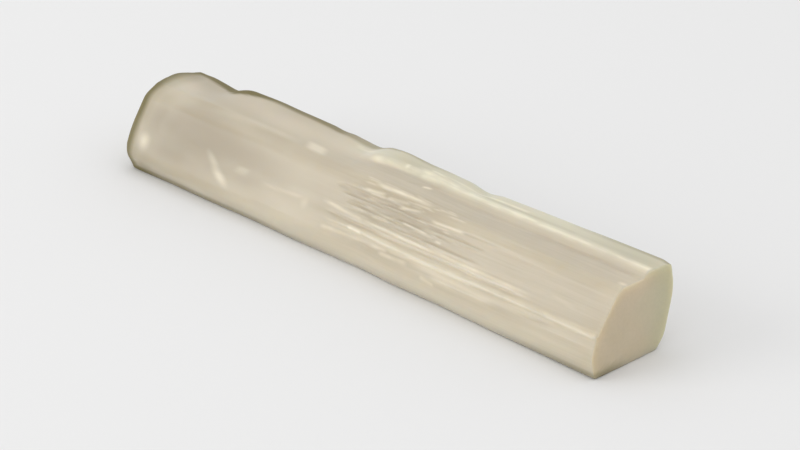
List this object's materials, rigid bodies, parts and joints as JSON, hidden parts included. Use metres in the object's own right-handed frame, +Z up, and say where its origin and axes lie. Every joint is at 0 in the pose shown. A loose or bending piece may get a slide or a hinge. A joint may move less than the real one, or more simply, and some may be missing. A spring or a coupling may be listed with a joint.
{
  "type": "selenite crystal blade",
  "caption": "Long selenite crystal blade lying on its flat underside, with flat cleaved sides, a splintered front slope, one cut end and one worn, rounded end.",
  "frame": {"origin": "centre of the crystal's footprint, on the surface that it lies on", "axes": "+X along the crystal towards its cut end, +Y towards the back with the cleavage leaf, +Z up"},
  "size_m": [0.152, 0.0246, 0.0198],
  "materials": {
    "selenite": "translucent cream to tan selenite, silky along its length, glassy at the worn end and satin on the cut end"
  },
  "bodies": {
    "root": {"selenite_blade": "selenite"}
  },
  "joints": []
}
